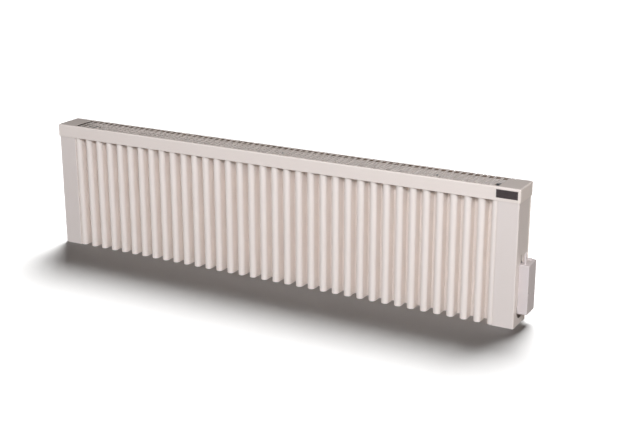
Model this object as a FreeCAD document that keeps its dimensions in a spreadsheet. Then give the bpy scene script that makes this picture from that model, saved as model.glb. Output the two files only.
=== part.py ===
"""Slim electric radiator: fluted steel front, slotted cap, fireclay core and a radio receiver.

Frame: X along the length, Y from the front to the wall, Z up. The origin lies under the middle of
the base plate, half-way through the depth of the body. All sizes are in millimetres.
"""
import FreeCAD
import Part
import Sketcher
import math
import os
from types import SimpleNamespace

# Driving dimensions, written once: everything below is tied to these.
SIZES = {
    # Folded steel casing
    "sheet_wall": 1.0,
    "fit_gap": 0.3,
    "body_depth": 78.5,
    "total_height": 333.5,
    "bend_radius": 3.0,
    "flange_width": 51.4,
    "flange_lap": 6.0,
    "return_radius": 1.5,
    "rear_flange": 20.0,
    "wrap_flange": 6.0,
    "panel_drop": 2.2,
    # Fluted front
    "flute_count": 36,
    "flute_pitch": 33.84,
    "flute_depth": 29.7,
    "crest_radius": 9.5,
    "trough_radius": 3.0,
    "front_drop": 5.0,
    # Slotted cap
    "cap_lip": 32.5,
    "cap_overhang": 1.8,
    "cap_end_overhang": 2.5,
    "cap_radius": 3.5,
    "slot_width": 11.0,
    "slot_margin": 1.0,
    "slots_per_flute": 2,
    # Plain plate on the cap's front lip
    "badge_length": 51.2,
    "badge_height": 19.3,
    "badge_wall": 1.4,
    "badge_bevel": 1.0,
    "badge_drop": 6.2,
    "badge_inset": 6.3,
    # Openings in the right end panel
    "keyhole_radius": 5.5,
    "keyhole_slot": 4.2,
    "keyhole_height": 150.0,
    "keyhole_rise": 20.2,
    "keyhole_front": 34.0,
    "cable_opening_radius": 25.0,
    "cable_opening_height": 39.5,
    "cable_opening_front": 43.0,
    # Base plate and wall fixing
    "base_wall": 1.2,
    "base_upstand": 14.0,
    "inlet_count": 12,
    "inlet_pitch": 96.0,
    "inlet_length": 70.0,
    "inlet_width": 10.0,
    "wall_hole_radius": 3.5,
    "wall_hole_inset": 42.5,
    "wall_hole_low": 65.0,
    "wall_hole_rise": 200.0,
    # Casing screws
    "screw_head_radius": 4.0,
    "screw_head": 2.2,
    "screw_radius": 1.75,
    "screw_length": 6.0,
    "screw_clearance": 0.25,
    "side_screw_low": 40.0,
    "side_screw_drop": 14.0,
    "row_screw_pitch": 420.0,
    # Fireclay core and its carrier
    "core_front_gap": 6.0,
    "core_rear_gap": 7.4,
    "core_inset": 24.0,
    "block_count": 5,
    "core_top_drop": 37.3,
    "block_gap": 1.0,
    "tray_wall": 1.5,
    "tray_lift": 10.0,
    "tray_side": 20.0,
    "rail_side": 15.0,
    "end_plate_drop": 14.0,
    "end_flange": 24.0,
    "support_width": 40.0,
    "support_spread": 380.0,
    # Tie rods
    "rod_radius": 3.0,
    "rod_proud": 2.0,
    "rod_front": 42.0,
    "rod_inset": 10.2,
    "nut_radius": 5.77,
    "nut_height": 5.0,
    "thread_clearance": 0.1,
    # Heating element
    "element_radius": 4.0,
    "element_low": 95.0,
    "element_rise": 110.0,
    "element_reach": 16.0,
    "element_bend_reach": 8.0,
    "bore_clearance": 0.5,
    "bush_radius": 8.0,
    "bush_spigot": 6.0,
    "bush_collar": 5.0,
    "pin_radius": 2.0,
    "pin_length": 14.0,
    # Wiring inside the right end
    "limiter_radius": 8.0,
    "limiter_length": 10.0,
    "limiter_drop": 42.7,
    "tab_length": 8.0,
    "tab_width": 6.0,
    "tab_wall": 0.8,
    "tab_spread": 10.0,
    "terminal_width": 18.0,
    "terminal_depth": 22.0,
    "terminal_height": 45.0,
    "terminal_low": 160.0,
    "terminal_rear_gap": 7.0,
    "clamp_radius": 2.0,
    "clamp_depth": 6.0,
    "pole_pitch": 13.0,
    "lead_radius": 1.3,
    "lead_bend": 7.0,
    "lead_reach": 10.0,
    "earth_reach": 20.0,
    "earth_height": 120.0,
    "earth_front": 30.0,
    "earth_length": 10.0,
    "cable_radius": 2.2,
    "cable_bend": 8.0,
    "cable_drop": 10.0,
    "cable_rise": 80.0,
    # Radio receiver on the right end panel
    "receiver_width": 24.0,
    "receiver_depth": 51.5,
    "receiver_height": 119.5,
    "receiver_low": 31.5,
    "receiver_rear_gap": 0.9,
    "receiver_wall": 2.0,
    "receiver_edge": 1.5,
    "receiver_rear_edge": 4.0,
    "receiver_rim": 1.0,
    "seam_chamfer": 0.5,
    "lid_height": 47.4,
    "post_radius": 2.5,
    "post_height": 6.0,
    "post_inset": 6.0,
    "fixing_drop": 7.0,
    "fixing_top_drop": 15.5,
    "cable_hole_clearance": 0.8,
    "grommet_bore": 4.0,
    "grommet_radius": 5.8,
    "grommet_flange": 8.0,
    "grommet_lip": 1.2,
    "grommet_rear": 13.0,
    "grommet_out": 11.0,
    "antenna_radius": 2.5,
    "antenna_height": 28.0,
    "antenna_collar": 3.4,
    "antenna_step": 1.5,
    "antenna_spigot": 2.2,
    "antenna_out": 11.5,
    "antenna_front": 7.0,
    "button_length": 11.0,
    "button_width": 10.0,
    "button_rise": 2.6,
    "button_travel": 1.5,
    "button_lug": 1.2,
    "button_rear": 7.5,
    "button_out": 10.5,
    "button_stem": 2.0,
    "board_wall": 1.6,
    "board_margin": 2.5,
    "button_headroom": 8.0,
    "relay_length": 19.0,
    "relay_height": 15.0,
    "relay_gap": 0.9,
    "capacitor_radius": 4.0,
    "capacitor_gap": 1.9,
    "capacitor_inset": 9.0,
    "capacitor_lift": 7.0,
    "switch_height": 5.0,
    "switch_length": 6.0,
    "strip_width": 12.0,
    "strip_height": 16.0,
    "strip_drop": 12.0,
    "strip_poles": 4,
    "strip_pitch": 8.5,
    "strip_margin": 5.5,
    "strip_screw_rise": 9.6,
}

TURNS = {
    "x": FreeCAD.Rotation(FreeCAD.Vector(0, 1, 0), 90),
    "y": FreeCAD.Rotation(FreeCAD.Vector(1, 0, 0), -90),
    "z": FreeCAD.Rotation(),
}

doc = FreeCAD.newDocument("radiator")
sheet = doc.addObject("Spreadsheet::Sheet", "Sizes")
for row, (alias, number) in enumerate(SIZES.items(), start=1):
    sheet.set(f"A{row}", alias)
    sheet.set(f"B{row}", str(number))
    sheet.setAlias(f"B{row}", alias)
doc.recompute()


class Size:
    """A dimension: its number, and the formula on the sheet that gives it."""

    def __init__(self, value, formula):
        self.value = value
        self.formula = formula

    def __add__(self, other):
        other = size_of(other)
        return Size(self.value + other.value, f"({self.formula} + {other.formula})")

    def __radd__(self, other):
        return size_of(other) + self

    def __sub__(self, other):
        other = size_of(other)
        return Size(self.value - other.value, f"({self.formula} - {other.formula})")

    def __rsub__(self, other):
        return size_of(other) - self

    def __mul__(self, other):
        other = size_of(other)
        return Size(self.value * other.value, f"({self.formula} * {other.formula})")

    def __rmul__(self, other):
        return size_of(other) * self

    def __truediv__(self, other):
        other = size_of(other)
        return Size(self.value / other.value, f"({self.formula} / {other.formula})")

    def __neg__(self):
        return size_of(0) - self

    def root(self):
        return Size(math.sqrt(self.value), f"sqrt({self.formula})")


def size_of(item):
    """A plain number as a size, or a size as it is."""
    if isinstance(item, Size):
        return item
    return Size(float(item), f"({float(item)})")


s = SimpleNamespace(**{alias: Size(float(sheet.get(alias)), f"Sizes.{alias}") for alias in SIZES})

# Places that several pieces share
half_flutes = (s.flute_count - 1) * s.flute_pitch / 2
flange_inner = half_flutes + s.flange_lap
half_body = flange_inner + s.flange_width
panel_inner = half_body - s.sheet_wall
front = -s.body_depth / 2
rear = s.body_depth / 2
back_inner = rear - s.sheet_wall
flute_front = front + s.sheet_wall + s.fit_gap
crest_fall = s.crest_radius - (s.crest_radius * s.crest_radius - s.flange_lap * s.flange_lap).root()
trough_rear = flute_front + s.flute_depth + s.sheet_wall
cap_under = s.total_height - s.sheet_wall
panel_height = cap_under - s.panel_drop
half_cap = half_body + s.cap_end_overhang
cap_front = front - s.cap_overhang
cap_low = s.total_height - s.cap_lip

core_half = half_flutes - s.core_inset
core_front = trough_rear + s.core_front_gap
core_rear = back_inner - s.core_rear_gap
core_middle = (core_front + core_rear) / 2
tray_front = core_front - s.fit_gap - s.tray_wall
tray_rear = core_rear + s.fit_gap + s.tray_wall
tray_low = s.base_wall + s.tray_lift
block_low = tray_low + s.tray_wall
block_top = s.total_height - s.core_top_drop
block_height = block_top - block_low
end_plate_top = s.total_height - s.end_plate_drop
plate_inner = core_half + s.fit_gap
plate_outer = plate_inner + s.tray_wall
element_high = s.element_low + s.element_rise
element_end = plate_outer + s.element_reach
pin_end = element_end + s.pin_length
limiter_height = block_top - s.limiter_drop

box_rear = rear - s.wrap_flange - s.receiver_rear_gap
box_front = box_rear - s.receiver_depth
box_top = s.receiver_low + s.receiver_height
box_outer = half_body + s.receiver_width
seam = s.receiver_low + s.lid_height
opening_y = front + s.cable_opening_front


def tie(item, name, size):
    """Tie one property of an object to the sheet."""
    item.setExpression(name, size_of(size).formula)


def place(item, x, y, z):
    """Tie an object's place to the sheet."""
    for axis, size in zip("xyz", (x, y, z)):
        tie(item, f"Placement.Base.{axis}", size)
    return item


def box(label, length, width, height, x, y, z):
    """A block with its lowest corner at x, y, z."""
    item = doc.addObject("Part::Box", label)
    tie(item, "Length", length)
    tie(item, "Width", width)
    tie(item, "Height", height)
    return place(item, x, y, z)


def cylinder(label, radius, height, x, y, z, axis="z"):
    """A round bar that starts at x, y, z and runs along an axis."""
    item = doc.addObject("Part::Cylinder", label)
    item.Placement = FreeCAD.Placement(FreeCAD.Vector(), TURNS[axis])
    tie(item, "Radius", radius)
    tie(item, "Height", height)
    return place(item, x, y, z)


def fuse(label, items):
    """One solid made of several."""
    item = doc.addObject("Part::MultiFuse", label)
    item.Shapes = items
    item.Refine = True
    return item


def group(label, items):
    """Separate solids kept together."""
    item = doc.addObject("Part::Compound", label)
    item.Links = items
    return item


def cut(label, base, tools):
    """A solid with others taken out of it."""
    item = doc.addObject("Part::Cut", label)
    item.Base = base
    item.Tool = tools[0] if len(tools) == 1 else group(f"{label}_cuts", tools)
    return item


def mirror(label, source):
    """The same piece on the other side of the middle of the length."""
    item = doc.addObject("Part::Mirroring", label)
    item.Source = source
    item.Normal = FreeCAD.Vector(1, 0, 0)
    item.Base = FreeCAD.Vector(0, 0, 0)
    return item


class Outline:
    """A closed outline of lines and arcs, drawn as a sketch whose points are tied to the sheet."""

    def __init__(self, x, y):
        self.points = [(size_of(x), size_of(y))]
        self.centres = []

    def line(self, x, y):
        """A straight run to x, y."""
        self.points.append((size_of(x), size_of(y)))
        self.centres.append(None)
        return self

    def arc(self, x, y, centre_x, centre_y, left=True):
        """A round run to x, y about a centre, turning left or right."""
        self.points.append((size_of(x), size_of(y)))
        self.centres.append((size_of(centre_x), size_of(centre_y), left))
        return self

    def close_arc(self, centre_x, centre_y, left=True):
        """A round run back to the first point."""
        self.centres.append((size_of(centre_x), size_of(centre_y), left))
        return self

    def draw(self, body, role):
        """Draw the outline on one of the body's own planes."""
        sketch = body.newObject("Sketcher::SketchObject", f"{body.Label}_sketch")
        plane = next(item for item in body.Origin.OriginFeatures if item.Role == role)
        sketch.AttachmentSupport = [(plane, "")]
        sketch.MapMode = "FlatFace"
        count = len(self.points)
        ends = []
        for index in range(count):
            start = vector(*self.points[index])
            end = vector(*self.points[(index + 1) % count])
            centre = self.centres[index] if index < len(self.centres) else None
            if centre is None:
                geometry = sketch.addGeometry(Part.LineSegment(start, end), False)
                ends.append((geometry, 1, 2))
            else:
                ends.append(self._draw_arc(sketch, start, end, centre))
        for index, (geometry, first, _) in enumerate(ends):
            previous, _, last = ends[index - 1]
            sketch.addConstraint(Sketcher.Constraint("Coincident", previous, last, geometry, first))
            pin_point(sketch, geometry, first, *self.points[index])
        return sketch

    def _draw_arc(self, sketch, start, end, centre):
        middle = vector(centre[0], centre[1])
        first, second = (start, end) if centre[2] else (end, start)
        angles = [math.atan2(point.y - middle.y, point.x - middle.x) for point in (first, second)]
        circle = Part.Circle(middle, FreeCAD.Vector(0, 0, 1), (start - middle).Length)
        geometry = sketch.addGeometry(Part.ArcOfCircle(circle, *angles), False)
        across = abs(end.x - start.x) >= abs(end.y - start.y)
        pin_coordinate(sketch, geometry, 3, "Y" if across else "X", centre[1] if across else centre[0])
        return (geometry, 1, 2) if centre[2] else (geometry, 2, 1)


def vector(x, y):
    """A sketch point as a vector."""
    return FreeCAD.Vector(x.value, y.value, 0)


def pin_coordinate(sketch, geometry, point, axis, size):
    """Tie one coordinate of a sketch point to the sheet."""
    if abs(size.value) < 1e-9:
        line = -2 if axis == "X" else -1
        sketch.addConstraint(Sketcher.Constraint("PointOnObject", geometry, point, line))
        return
    kind = f"Distance{axis}"
    if size.value > 0:
        index = sketch.addConstraint(Sketcher.Constraint(kind, -1, 1, geometry, point, size.value))
        tie(sketch, f"Constraints[{index}]", size)
    else:
        index = sketch.addConstraint(Sketcher.Constraint(kind, geometry, point, -1, 1, -size.value))
        tie(sketch, f"Constraints[{index}]", -size)


def pin_point(sketch, geometry, point, x, y):
    """Tie a sketch point to the sheet."""
    pin_coordinate(sketch, geometry, point, "X", x)
    pin_coordinate(sketch, geometry, point, "Y", y)


def rectangle(x0, y0, x1, y1):
    """A plain four-sided outline."""
    return Outline(x0, y0).line(x1, y0).line(x1, y1).line(x0, y1)


def obround(x, y, length, width):
    """A round-ended slot along Y, centred on x, y."""
    half = width / 2
    low = y - length / 2 + half
    high = y + length / 2 - half
    outline = Outline(x + half, low).line(x + half, high)
    return outline.arc(x - half, high, x, high).line(x - half, low).close_arc(x, low)


def obround_along_x(x, y, length, width):
    """A round-ended slot along X, centred on x, y."""
    half = width / 2
    low = x - length / 2 + half
    high = x + length / 2 - half
    outline = Outline(low, y - half).line(high, y - half)
    return outline.arc(high, y + half, high, y).line(low, y + half).close_arc(low, y)


def new_body(label, outline, role, length, reverse=False):
    """A body padded from one outline."""
    body = doc.addObject("PartDesign::Body", label)
    pad = body.newObject("PartDesign::Pad", f"{label}_pad")
    pad.Profile = outline.draw(body, role)
    tie(pad, "Length", length)
    pad.Reversed = reverse
    doc.recompute()
    return body


def ease_edges(body, kind, size, wanted):
    """Round or bevel the body's edges that a test picks: the kind is Fillet or Chamfer."""
    base = body.Tip
    names = [f"Edge{n}" for n, edge in enumerate(base.Shape.Edges, start=1) if wanted(edge)]
    item = body.newObject(f"PartDesign::{kind}", f"{body.Label}_{kind.lower()}")
    item.Base = (base, names)
    tie(item, "Radius" if kind == "Fillet" else "Size", size)
    doc.recompute()
    return item


def origin_axis(body, role):
    """One of the body's own axes."""
    return next(item for item in body.Origin.OriginFeatures if item.Role == role)


def repeat_along_x(body, feature, length, count):
    """Repeat a feature in even steps along X."""
    item = body.newObject("PartDesign::LinearPattern", f"{body.Label}_pattern")
    item.Originals = [feature]
    item.Direction = (origin_axis(body, "X_Axis"), [""])
    tie(item, "Length", length)
    tie(item, "Occurrences", count)
    body.Tip = item
    doc.recompute()
    return item


def punch_row(body, outline, length, count):
    """Punch an outline up through the body and repeat it along X."""
    before = body.Shape.Volume
    sketch = outline.draw(body, "XY_Plane")
    pocket = body.newObject("PartDesign::Pocket", f"{body.Label}_punch")
    pocket.Profile = sketch
    pocket.Type = "ThroughAll"
    pocket.Reversed = True
    doc.recompute()
    one = before - body.Shape.Volume
    repeat_along_x(body, pocket, length, count)
    removed = before - body.Shape.Volume
    if one <= 0 or abs(removed - one * size_of(count).value) > one / 2:
        raise RuntimeError(f"{body.Label}: the punched row is not whole")


def channel(label, depth, side, wall, length, upside_down=False):
    """A U-shaped folded channel along X, open at the top or at the bottom."""
    floor_low = side - wall if upside_down else size_of(0)
    floor_high = floor_low + wall
    tip = size_of(0) if upside_down else side
    outer = floor_high if upside_down else floor_low
    inner = floor_low if upside_down else floor_high
    outline = Outline(0, outer).line(depth, outer).line(depth, tip).line(depth - wall, tip)
    outline.line(depth - wall, inner).line(wall, inner).line(wall, tip).line(0, tip)
    return new_body(label, outline, "YZ_Plane", length)


def screw(x, y, z, axis, length):
    """A pan-head screw: its head starts at x, y, z and its shank runs the other way."""
    head = cylinder("screw_head", s.screw_head_radius, s.screw_head, x, y, z, axis)
    foot = (x - length, y, z) if axis == "x" else (x, y - length, z)
    shank = cylinder("screw_shank", s.screw_radius, length, *foot, axis)
    return fuse("screw", [head, shank])


def screw_hole(x, y, z, axis, length):
    """A clearance hole for a screw, from x, y, z along an axis."""
    return cylinder("screw_hole", s.screw_radius + s.screw_clearance, length, x, y, z, axis)


# Screw places on the back: two columns, a row along the base and a row along the cap
side_screw_x = half_body - s.rear_flange / 2
side_screw_high = cap_low - s.side_screw_drop
side_screw_heights = (s.side_screw_low, (s.side_screw_low + side_screw_high) / 2, side_screw_high)
side_screws = [(side_screw_x, z) for z in side_screw_heights]
base_screw_z = (s.base_wall + s.base_upstand) / 2
cap_screw_z = s.total_height - s.cap_lip / 2
row_screws = [s.row_screw_pitch * k for k in (-1, 0, 1)]
hole_start = back_inner - s.screw_length
hole_length = s.screw_length + s.sheet_wall + s.cap_overhang + s.screw_head


def make_front_panel():
    """One flute, from mid-trough to mid-trough, repeated along the length."""
    half = s.flute_pitch / 2
    crest = s.crest_radius
    inside = crest - s.sheet_wall
    trough = s.flute_depth
    back = trough + s.sheet_wall
    turn_x = crest + s.trough_radius
    turn_y = trough - s.trough_radius
    outline = Outline(-half, trough).line(-turn_x, trough)
    outline.arc(-crest, turn_y, -turn_x, turn_y, left=False).line(-crest, crest)
    outline.arc(crest, crest, 0, crest).line(crest, turn_y)
    outline.arc(turn_x, trough, turn_x, turn_y, left=False).line(half, trough)
    outline.line(half, back).line(turn_x, back)
    outline.arc(inside, turn_y, turn_x, turn_y).line(inside, crest)
    outline.arc(-inside, crest, 0, crest, left=False).line(-inside, turn_y)
    outline.arc(-turn_x, back, -turn_x, turn_y).line(-half, back)
    body = new_body("front_panel", outline, "XY_Plane", cap_under - s.front_drop)
    repeat_along_x(body, body.Tip, half_flutes * 2, s.flute_count)
    return place(body, -half_flutes, flute_front, 0)


def end_panel_blank():
    """The right end: a front flange turned in over the last flute, a side and a rear flange."""
    wall = s.sheet_wall
    bend = s.bend_radius
    width = s.flange_width
    depth = s.body_depth - wall
    side = width - bend
    back = depth - bend
    turn = s.return_radius
    tip = wall + crest_fall
    outline = Outline(0, tip).line(0, turn).arc(turn, 0, turn, turn)
    outline.line(side, 0).arc(width, bend, side, bend)
    outline.line(width, back).arc(side, depth, side, back)
    outline.line(width - s.rear_flange, depth).line(width - s.rear_flange, depth - wall)
    outline.line(side, depth - wall).arc(width - wall, back, side, back, left=False)
    outline.line(width - wall, bend).arc(side, wall, side, bend, left=False)
    outline.line(turn, wall).arc(wall, turn, turn, turn, left=False).line(wall, tip)
    body = new_body("end_panel_fold", outline, "XY_Plane", panel_height)
    place(body, flange_inner, front, 0)
    holes = [screw_hole(x, hole_start, z, "y", hole_length) for x, z in side_screws]
    return cut("end_panel_blank", body, holes)


def make_end_panels():
    """Both ends: the right one has the keyhole, the cable opening and the receiver's screw holes."""
    blank = end_panel_blank()
    start = panel_inner - s.sheet_wall
    through = s.sheet_wall * 3
    keyhole_y = front + s.keyhole_front
    keyhole_top = s.keyhole_height + s.keyhole_rise - s.keyhole_slot / 2
    keyhole = fuse("keyhole", [
        cylinder("keyhole_eye", s.keyhole_radius, through, start, keyhole_y, s.keyhole_height, "x"),
        cylinder("keyhole_end", s.keyhole_slot / 2, through, start, keyhole_y, keyhole_top, "x"),
        box("keyhole_neck", through, s.keyhole_slot, keyhole_top - s.keyhole_height,
            start, keyhole_y - s.keyhole_slot / 2, s.keyhole_height),
    ])
    opening = cylinder("cable_opening", s.cable_opening_radius, through,
                       start, opening_y, s.cable_opening_height, "x")
    fixings = [screw_hole(start, y, z, "x", through) for y, z in receiver_fixings]
    right = cut("right_end_panel", blank, [keyhole, opening] + fixings)
    return [right, mirror("left_end_panel", blank)]


def make_back_panel():
    """A flat back whose folded sides wrap round the two ends."""
    inner = half_body + s.fit_gap
    outer = inner + s.sheet_wall
    depth = s.wrap_flange
    face = depth - s.sheet_wall
    bend = s.bend_radius
    big = bend + s.sheet_wall
    outline = Outline(-outer, 0).line(-inner, 0).line(-inner, face - bend)
    outline.arc(bend - inner, face, bend - inner, face - bend, left=False)
    outline.line(inner - bend, face).arc(inner, face - bend, inner - bend, face - bend, left=False)
    outline.line(inner, 0).line(outer, 0).line(outer, depth - big)
    outline.arc(outer - big, depth, outer - big, depth - big).line(big - outer, depth)
    outline.arc(-outer, depth - big, big - outer, depth - big)
    body = new_body("back_panel_fold", outline, "XY_Plane", panel_height)
    place(body, 0, rear - s.wrap_flange, 0)
    places = [(side * x, z) for x, z in side_screws for side in (-1, 1)]
    places += [(x, z) for x in row_screws for z in (base_screw_z, cap_screw_z)]
    holes = [screw_hole(x, hole_start, z, "y", hole_length) for x, z in places]
    wall_x = half_body - s.wall_hole_inset
    for side in (-1, 1):
        for z in (s.wall_hole_low, s.wall_hole_low + s.wall_hole_rise):
            holes.append(cylinder("wall_hole", s.wall_hole_radius, hole_length,
                                  side * wall_x, hole_start, z, "y"))
    return cut("back_panel", body, holes)


def make_top_cover():
    """A drawn cap: a rounded box hollowed from below, with a row of slots over the flutes."""
    depth = s.body_depth + s.cap_overhang * 2
    body = new_body("cap_shell", rectangle(0, 0, half_cap * 2, depth), "XY_Plane", s.cap_lip)
    rounded = ease_edges(body, "Fillet", s.cap_radius, lambda edge: edge.BoundBox.ZMax > s.cap_radius.value)
    underside = next(f"Face{n}" for n, face in enumerate(rounded.Shape.Faces, start=1)
                     if face.BoundBox.ZMax < s.fit_gap.value)
    shell = body.newObject("PartDesign::Thickness", "cap_hollow")
    shell.Base = (rounded, [underside])
    shell.Reversed = True
    tie(shell, "Value", s.sheet_wall)
    doc.recompute()
    slot_length = depth - (s.cap_radius + s.slot_margin) * 2
    slot = obround(half_cap - half_flutes, depth / 2, slot_length, s.slot_width)
    punch_row(body, slot, half_flutes * 2, (s.flute_count - 1) * s.slots_per_flute + 1)
    place(body, -half_cap, cap_front, cap_low)
    holes = [screw_hole(x, hole_start, cap_screw_z, "y", hole_length) for x in row_screws]
    return cut("top_cover", body, holes)


def make_badge_plate():
    """A blank bevelled plate near the right end of the cap's front lip."""
    body = new_body("badge_plate", rectangle(0, 0, s.badge_length, s.badge_height), "XZ_Plane", s.badge_wall)
    ease_edges(body, "Chamfer", s.badge_bevel, lambda edge: edge.BoundBox.YMax < -s.badge_wall.value / 2)
    return place(body, half_cap - s.badge_inset - s.badge_length, cap_front,
                 s.total_height - s.badge_drop - s.badge_height)


def make_base_plate():
    """A shallow channel between the flutes and the back, with air inlets along its floor."""
    start = trough_rear + s.fit_gap
    half = half_body - s.rear_flange - s.fit_gap
    depth = back_inner - start
    body = channel("base_channel", depth, s.base_upstand, s.base_wall, half * 2)
    run = s.inlet_pitch * (s.inlet_count - 1)
    inlet = obround_along_x(half - run / 2, depth / 2, s.inlet_length, s.inlet_width)
    punch_row(body, inlet, run, s.inlet_count)
    place(body, -half, start, 0)
    holes = [screw_hole(x, hole_start, base_screw_z, "y", hole_length) for x in row_screws]
    return cut("base_plate", body, holes)


def make_casing_screws():
    """The screws on the back, one group for each row."""
    sides = [screw(side * x, rear, z, "y", s.screw_length) for x, z in side_screws for side in (-1, 1)]
    base = [screw(x, rear, base_screw_z, "y", s.screw_length) for x in row_screws]
    lip = rear + s.cap_overhang
    cap = [screw(x, lip, cap_screw_z, "y", s.screw_length) for x in row_screws]
    return [group("side_screws", sides), group("base_screws", base), group("cap_screws", cap)]


def make_core():
    """Fireclay blocks in a tray, under a rail, with bores for the two runs of the element."""
    depth = tray_rear - tray_front
    count = int(s.block_count.value)
    length = (core_half * 2 - s.block_gap * (s.block_count - 1)) / s.block_count
    bore = s.element_radius + s.bore_clearance
    pieces = []
    for k in range(count):
        x = (length + s.block_gap) * k - core_half
        brick = box("brick", length, core_rear - core_front, block_height, x, core_front, block_low)
        bores = [cylinder("bore", bore, length, x, core_middle, z, "x")
                 for z in (s.element_low, element_high)]
        pieces.append(cut(f"core_block_{k + 1}", brick, bores))
    tray = channel("core_tray", depth, s.tray_side, s.tray_wall, core_half * 2)
    rail = channel("core_top_rail", depth, s.rail_side, s.tray_wall, core_half * 2, upside_down=True)
    pieces.append(place(tray, -core_half, tray_front, tray_low))
    pieces.append(place(rail, -core_half, tray_front, block_top + s.tray_wall - s.rail_side))
    return pieces


def make_tray_supports():
    """Three folded arches that lift the tray off the base plate."""
    depth = core_rear - core_front
    arches = []
    for k in (-1, 0, 1):
        x = s.support_spread * k - s.support_width / 2
        arch = box("arch", s.support_width, depth, s.tray_lift, x, core_front, s.base_wall)
        hollow = box("arch_hollow", s.support_width - s.tray_wall * 2, depth, s.tray_lift - s.tray_wall,
                     x + s.tray_wall, core_front, s.base_wall)
        arches.append(cut("arch_fold", arch, [hollow]))
    return group("tray_supports", arches)


rod_x = half_flutes - s.rod_inset
rod_y = front + s.rod_front
rod_top = end_plate_top + s.nut_height + s.rod_proud


def make_end_plates():
    """A plate at each end of the core, with a flange on top for the tie rod."""
    height = end_plate_top - s.base_wall
    wall = s.tray_wall
    outline = Outline(0, 0).line(wall, 0).line(wall, height - wall).line(s.end_flange, height - wall)
    outline.line(s.end_flange, height).line(0, height)
    fold = new_body("end_plate_fold", outline, "XZ_Plane", tray_rear - tray_front, reverse=True)
    place(fold, plate_inner, tray_front, s.base_wall)
    spigot = s.bush_spigot + s.thread_clearance
    holes = [cylinder("spigot_hole", spigot, wall * 3, plate_inner - wall, core_middle, z, "x")
             for z in (s.element_low, element_high)]
    holes.append(cylinder("rod_hole", s.rod_radius + s.fit_gap, wall * 3,
                          rod_x, rod_y, end_plate_top - wall * 2))
    right = cut("core_end_plate_right", fold, holes)
    return [right, mirror("core_end_plate_left", right)]


def make_tie_rods():
    """A threaded rod at each end of the core, with a nut on the base plate and one on the flange."""
    rods = [cylinder("rod", s.rod_radius, rod_top - s.base_wall, side * rod_x, rod_y, s.base_wall)
            for side in (-1, 1)]
    nuts = []
    for side in (-1, 1):
        for z in (s.base_wall, end_plate_top):
            hexagon = doc.addObject("Part::Prism", "hexagon")
            hexagon.Polygon = 6
            tie(hexagon, "Circumradius", s.nut_radius)
            tie(hexagon, "Height", s.nut_height)
            place(hexagon, side * rod_x, rod_y, z)
            thread = cylinder("thread", s.rod_radius + s.thread_clearance, s.nut_height,
                              side * rod_x, rod_y, z)
            nuts.append(cut("nut", hexagon, [thread]))
    return [group("tie_rods", rods), group("tie_rod_nuts", nuts)]


def point(x, y, z):
    """Three sizes as a point in space."""
    return FreeCAD.Vector(*(size_of(item).value for item in (x, y, z)))


# Share by which a bar's volume may differ from its section times its length
PATH_TOLERANCE = 0.02


def pipe(label, edges, radius):
    """A round bar along a smooth path."""
    path = Part.Wire(edges)
    start = edges[0].valueAt(edges[0].FirstParameter)
    along = edges[0].tangentAt(edges[0].FirstParameter)
    ring = Part.Wire([Part.makeCircle(radius.value, start, along)])
    item = doc.addObject("Part::Feature", label)
    item.Shape = path.makePipeShell([ring], True, False)
    item.Placement = FreeCAD.Placement()
    expected = math.pi * radius.value ** 2 * path.Length
    if abs(item.Shape.Volume - expected) > expected * PATH_TOLERANCE:
        raise RuntimeError(f"{label}: the bar does not follow its path")
    return item


def rounded_path(points, bend):
    """Straight runs between points, joined by arcs of one radius."""
    edges = []
    start = points[0]
    for before, corner, after in zip(points, points[1:], points[2:]):
        back = (before - corner).normalize()
        ahead = (after - corner).normalize()
        half_angle = back.getAngle(ahead) / 2
        reach = bend.value / math.tan(half_angle)
        middle = (back + ahead).normalize()
        crown = corner + middle * (bend.value / math.sin(half_angle) - bend.value)
        first = corner + back * reach
        last = corner + ahead * reach
        edges.append(Part.LineSegment(start, first).toShape())
        edges.append(Part.Arc(first, crown, last).toShape())
        start = last
    edges.append(Part.LineSegment(start, points[-1]).toShape())
    return edges


def make_element():
    """A hairpin element through the blocks, its end pins and its ceramic bushes."""
    bend_x = -plate_outer - s.element_bend_reach
    middle_z = (s.element_low + element_high) / 2
    low_start = point(element_end, core_middle, s.element_low)
    low_bend = point(bend_x, core_middle, s.element_low)
    crown = point(bend_x - s.element_rise / 2, core_middle, middle_z)
    high_bend = point(bend_x, core_middle, element_high)
    high_end = point(element_end, core_middle, element_high)
    edges = [Part.LineSegment(low_start, low_bend).toShape(), Part.Arc(low_bend, crown, high_bend).toShape(),
             Part.LineSegment(high_bend, high_end).toShape()]
    element = pipe("heating_element", edges, s.element_radius)
    heights = (s.element_low, element_high)
    pins = [cylinder("pin", s.pin_radius, s.pin_length, element_end, core_middle, z, "x") for z in heights]
    bushes = []
    for z in heights:
        collar = cylinder("collar", s.bush_radius, s.bush_collar, plate_outer, core_middle, z, "x")
        spigot = cylinder("spigot", s.bush_spigot, s.tray_wall, plate_inner, core_middle, z, "x")
        hole = cylinder("bush_hole", s.element_radius + s.fit_gap, s.bush_collar + s.tray_wall,
                        plate_inner, core_middle, z, "x")
        bush = cut("bush", fuse("bush_blank", [collar, spigot]), [hole])
        bushes += [bush, mirror("bush_left", bush)]
    return [element, group("element_pins", pins), group("element_bushes", bushes)]


terminal_x = panel_inner - s.terminal_width
terminal_rear = back_inner - s.terminal_rear_gap
terminal_y = terminal_rear - s.terminal_depth / 2
pole_heights = [s.terminal_low + s.terminal_height / 2 + s.pole_pitch * k for k in (-1, 0, 1)]
tab_start = plate_outer + s.limiter_length
tab_places = [core_middle + s.tab_spread / 2 * side for side in (-1, 1)]
earth_y = front + s.earth_front
earth_tip = panel_inner - s.earth_length


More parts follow.
